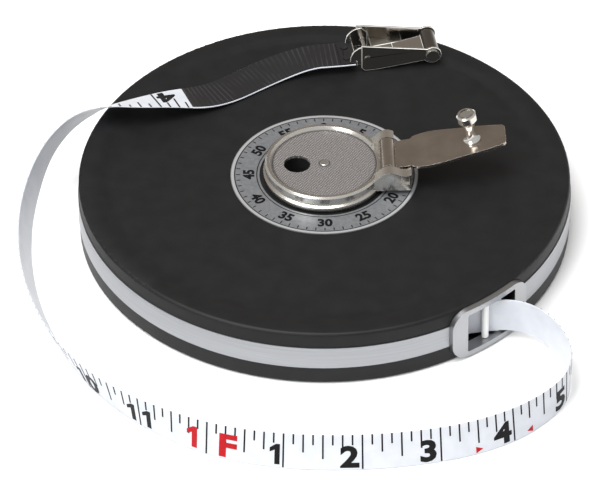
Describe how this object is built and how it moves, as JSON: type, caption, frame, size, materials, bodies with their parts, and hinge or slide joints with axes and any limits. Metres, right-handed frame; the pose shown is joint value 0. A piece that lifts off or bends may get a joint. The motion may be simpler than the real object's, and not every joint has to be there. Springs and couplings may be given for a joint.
{
  "type": "surveyor's closed-reel measuring tape",
  "caption": "Flat round closed case with a metal band, folding winding crank, roller mouthpiece and half-inch tape drawn out in a loop to a folding end hook on top of the case",
  "frame": {"origin": "on the case's axis at its lower face, which is the rear face that it lies on", "axes": "+Z is the reel's axis, pointing up out of the crank face; the opened crank points 2 degrees from +X towards +Y; the mouthpiece faces 49.4 degrees from +X towards -Y"},
  "size_m": [0.1846, 0.2071, 0.0459],
  "materials": {
    "case_black": "satin moulded black",
    "band_steel": "satin, brushed along the band",
    "screw_steel": "black oxide",
    "label_metal": "satin with dark printing",
    "bush_black": "satin",
    "mouth_metal": "satin die casting",
    "pin_steel": "bright drawn",
    "tape_white": "satin white with black and red print",
    "leader_black": "satin, embossed with fine ribs",
    "fitting_nickel": "bright nickel plate",
    "reel_grey": "satin moulded",
    "crank_nickel": "nickel plate with a finely turned face",
    "handle_nickel": "bright nickel plate",
    "knob_metal": "bright turned metal",
    "roller_white": "smooth"
  },
  "bodies": {
    "case": {"front_shell": "case_black", "rear_shell": "case_black", "case_band": "band_steel", "case_screws": "screw_steel", "label_plate": "label_metal", "front_bush": "bush_black", "rear_bush": "bush_black", "mouth_frame": "mouth_metal", "roller_pins": "pin_steel", "tape_feed": "tape_white", "tape_blade": "tape_white", "tape_leader": "leader_black", "leader_clip": "fitting_nickel", "clip_rivets": "fitting_nickel", "yoke_pin": "fitting_nickel"},
    "reel": {"reel_drum": "reel_grey", "tape_anchor_pin": "pin_steel", "lower_flange": "reel_grey", "upper_flange": "reel_grey", "wound_tape": "tape_white", "axle_rivet": "pin_steel", "rear_cap": "reel_grey", "crank_plate": "crank_nickel", "handle_hinge_pin": "pin_steel"},
    "handle": {"crank_handle": "handle_nickel", "knob_stem": "pin_steel"},
    "knob": {"crank_knob": "knob_metal"},
    "roller_a": {"roller_left": "roller_white"},
    "roller_b": {"roller_right": "roller_white"},
    "yoke": {"end_yoke": "fitting_nickel", "hook_pin": "fitting_nickel"},
    "hook": {"end_hook": "fitting_nickel"}
  },
  "joints": [
    {"name": "reel_spin", "type": "hinge", "parent": "case", "child": "reel", "pos_m": [0, 0, 0.0105], "axis": [0, 0, 1], "continuous": true},
    {"name": "handle_fold", "type": "hinge", "parent": "reel", "child": "handle", "pos_m": [0.02129, 0.00074, 0.0276], "axis": [0.0349, -0.9994, 0], "range_deg": [0, 168]},
    {"name": "knob_spin", "type": "hinge", "parent": "handle", "child": "knob", "pos_m": [0.04944, 0.00173, 0.03359], "axis": [-0.2078, -0.0073, 0.9781], "continuous": true},
    {"name": "roller_a_spin", "type": "hinge", "parent": "case", "child": "roller_a", "pos_m": [0.05219, -0.0622, 0.0105], "axis": [0, 0, 1], "continuous": true},
    {"name": "roller_b_spin", "type": "hinge", "parent": "case", "child": "roller_b", "pos_m": [0.0563, -0.05851, 0.0105], "axis": [0, 0, 1], "continuous": true},
    {"name": "yoke_swing", "type": "hinge", "parent": "case", "child": "yoke", "pos_m": [0.01415, 0.06244, 0.0258], "axis": [0.1595, -0.9872, 0], "range_deg": [0, 70]},
    {"name": "hook_fold", "type": "hinge", "parent": "yoke", "child": "hook", "pos_m": [0.03636, 0.06603, 0.0245], "axis": [-0.1595, 0.9872, 0], "range_deg": [0, 170]}
  ]
}
